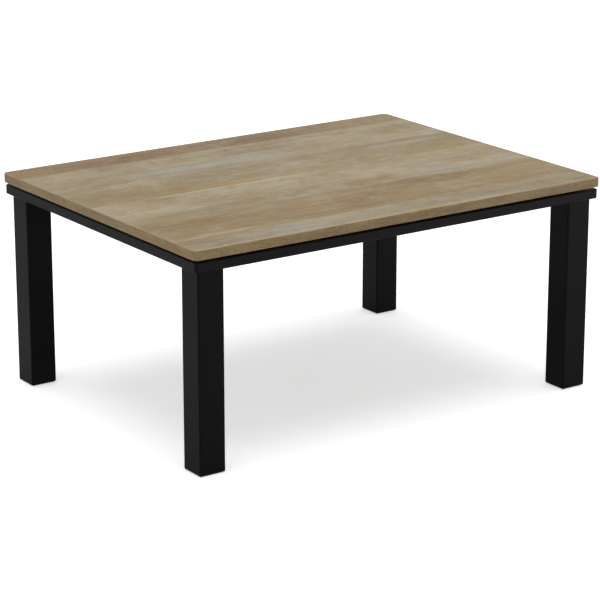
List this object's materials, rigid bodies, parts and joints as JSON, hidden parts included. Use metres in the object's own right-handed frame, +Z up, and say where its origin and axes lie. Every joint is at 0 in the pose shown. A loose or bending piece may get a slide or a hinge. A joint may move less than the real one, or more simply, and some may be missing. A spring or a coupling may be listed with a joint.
{
  "type": "kotatsu table",
  "caption": "Low heated table: a loose wood-print board on rubber pads over a thin mitred frame with square bolted legs, and a quartz heater with a fan beneath.",
  "frame": {"origin": "on the floor, at the centre of the footprint", "axes": "+X along the long side, +Y along the short side away from the front, +Z up"},
  "size_m": [0.8, 0.6, 0.365],
  "materials": {
    "wood_print": "satin wood-print sheet",
    "edge_print": "satin wood-print band",
    "fibreboard": "raw fibreboard",
    "backing_paper": "matt beige backing",
    "black_paint": "wood painted satin black",
    "bare_wood": "bare hardwood",
    "felt": "dense felt",
    "black_rubber": "matt rubber",
    "zinc_steel": "bright zinc plate",
    "galvanised_sheet": "galvanised sheet",
    "polished_sheet": "polished reflector",
    "quartz": "milky quartz",
    "coil_wire": "oxidised resistance wire",
    "white_ceramic": "unglazed ceramic",
    "black_resin": "fine-textured moulded resin",
    "grey_resin": "moulded resin",
    "motor_paint": "satin painted steel",
    "brass_pin": "nickelled brass",
    "wire_sleeve": "heat-resistant sleeve"
  },
  "bodies": {
    "base": {"frame_rail_front": "black_paint", "frame_rail_back": "black_paint", "frame_rail_left": "black_paint", "frame_rail_right": "black_paint", "mitre_tongues": "bare_wood", "crossbar_left": "black_paint", "crossbar_right": "black_paint", "leg_inserts": "zinc_steel", "leg_plates": "zinc_steel", "leg_bolts": "zinc_steel", "heater_casing": "galvanised_sheet", "heater_reflector": "polished_sheet", "guard_frame": "black_resin", "guard_grille": "black_resin", "quartz_tube_front": "quartz", "quartz_tube_back": "quartz", "heating_coil_front": "coil_wire", "heating_coil_back": "coil_wire", "tube_end_caps": "white_ceramic", "tube_brackets": "galvanised_sheet", "fan_motor": "motor_paint", "motor_bracket": "galvanised_sheet", "guard_screws": "zinc_steel", "heater_mount_screws": "zinc_steel", "inlet_socket": "black_resin", "inlet_pins": "brass_pin", "thermostat": "galvanised_sheet", "thermal_fuse": "white_ceramic", "terminal_block": "white_ceramic", "lead_wires": "wire_sleeve", "leg_front_left": "black_paint", "foot_pad_front_left": "felt", "slip_pad_front_left": "black_rubber", "leg_front_right": "black_paint", "foot_pad_front_right": "felt", "slip_pad_front_right": "black_rubber", "leg_back_left": "black_paint", "foot_pad_back_left": "felt", "slip_pad_back_left": "black_rubber", "leg_back_right": "black_paint", "foot_pad_back_right": "felt", "slip_pad_back_right": "black_rubber"},
    "board": {"top_core": "fibreboard", "top_surface_sheet": "wood_print", "top_back_sheet": "backing_paper", "edge_band": "edge_print"},
    "fan": {"fan_rotor": "grey_resin", "fan_shaft": "zinc_steel"}
  },
  "joints": [
    {"name": "board_lift", "type": "slide", "parent": "base", "child": "board", "axis": [0, 0, 1], "range_m": [0, 0.15]},
    {"name": "fan_spin", "type": "hinge", "parent": "base", "child": "fan", "pos_m": [0, 0, 0.314], "axis": [0, 0, 1], "continuous": true}
  ]
}
